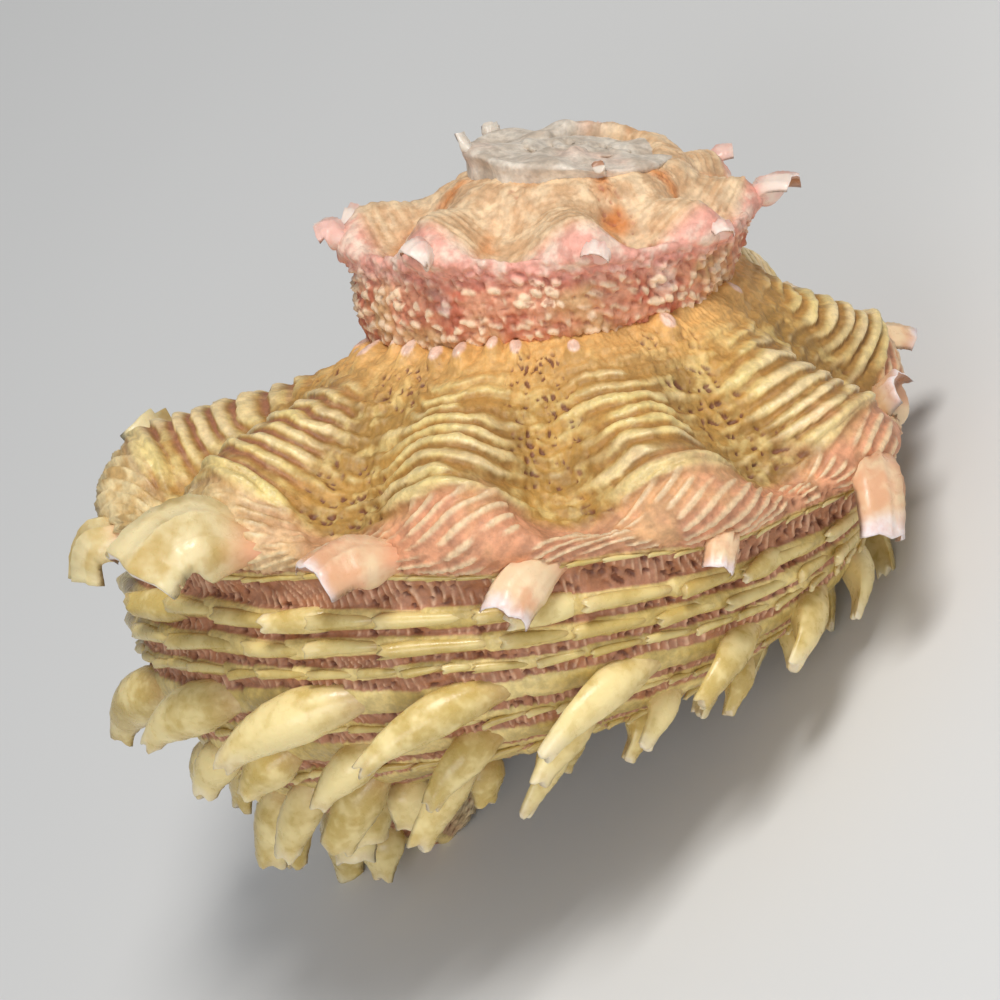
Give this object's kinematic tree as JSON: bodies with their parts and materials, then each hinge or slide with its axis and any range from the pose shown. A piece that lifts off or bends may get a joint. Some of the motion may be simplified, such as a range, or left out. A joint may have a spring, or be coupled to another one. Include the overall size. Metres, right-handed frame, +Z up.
{
  "type": "dolphin snail shell",
  "caption": "Right-handed turban seashell with a flat-topped stepped spire, a folded ramp and rows of tongue-shaped spines; the whorl is hollow behind the open mouth.",
  "frame": {"origin": "centre of the bounding box, on the resting plane", "axes": "+Z is up as the shell rests on its lip and base spines; -Y is the pictured side; the coiling axis leans over towards +X, so the spire is at the +X end"},
  "size_m": [0.0432, 0.0478, 0.0309],
  "materials": {
    "shell": "satin, glossier on the spines"
  },
  "bodies": {
    "root": {"shell": "shell"}
  },
  "joints": []
}
